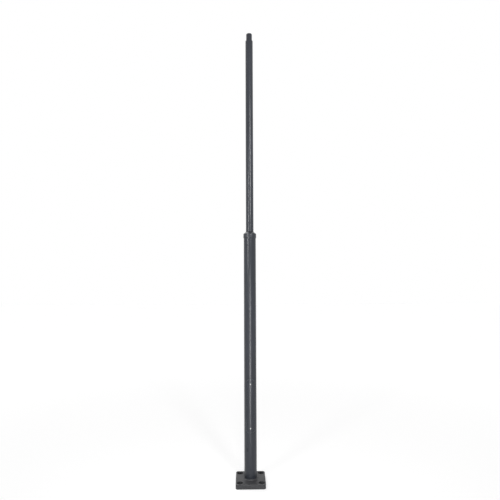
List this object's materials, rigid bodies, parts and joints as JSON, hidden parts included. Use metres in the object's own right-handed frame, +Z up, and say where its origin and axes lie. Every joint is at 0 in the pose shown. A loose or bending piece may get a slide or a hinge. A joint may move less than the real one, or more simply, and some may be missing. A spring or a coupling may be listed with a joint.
{
  "type": "lamp post",
  "caption": "Two-section round lamp post on a square cast foot with sunken nut pockets, an inspection door, a collar between the tubes and a post-top spigot.",
  "frame": {"origin": "centre of the foot's underside, on the ground", "axes": "+Z up along the post; the inspection door faces -Y; the foot's sides are parallel to X and Y"},
  "size_m": [0.285, 0.285, 4.5],
  "materials": {
    "tube_coat": "anthracite powder coat, semi-gloss",
    "foot_coat": "anthracite powder coat over a casting, semi-gloss",
    "collar_coat": "anthracite powder coat over a turned ring, semi-gloss",
    "seal_rubber": "black weather seal, matt",
    "zinc_steel": "zinc-plated steel, satin",
    "stainless": "stainless steel, bright",
    "earth_brass": "brass, satin"
  },
  "bodies": {
    "root": {"base_casting": "foot_coat", "foot_weld": "foot_coat", "lower_tube": "tube_coat", "door_frame": "zinc_steel", "door_cover": "tube_coat", "door_clamp_upper": "zinc_steel", "door_clamp_lower": "zinc_steel", "door_screw_upper": "stainless", "door_screw_lower": "stainless", "equipment_rail": "zinc_steel", "earth_stud": "earth_brass", "centring_ring_lower": "zinc_steel", "centring_ring_upper": "zinc_steel", "collar": "collar_coat", "collar_seal": "seal_rubber", "collar_set_screw_1": "stainless", "collar_set_screw_2": "stainless", "collar_set_screw_3": "stainless", "upper_tube": "tube_coat", "spigot_ring_lower": "tube_coat", "spigot_ring_upper": "tube_coat", "spigot": "tube_coat", "spigot_weld": "tube_coat"}
  },
  "joints": []
}
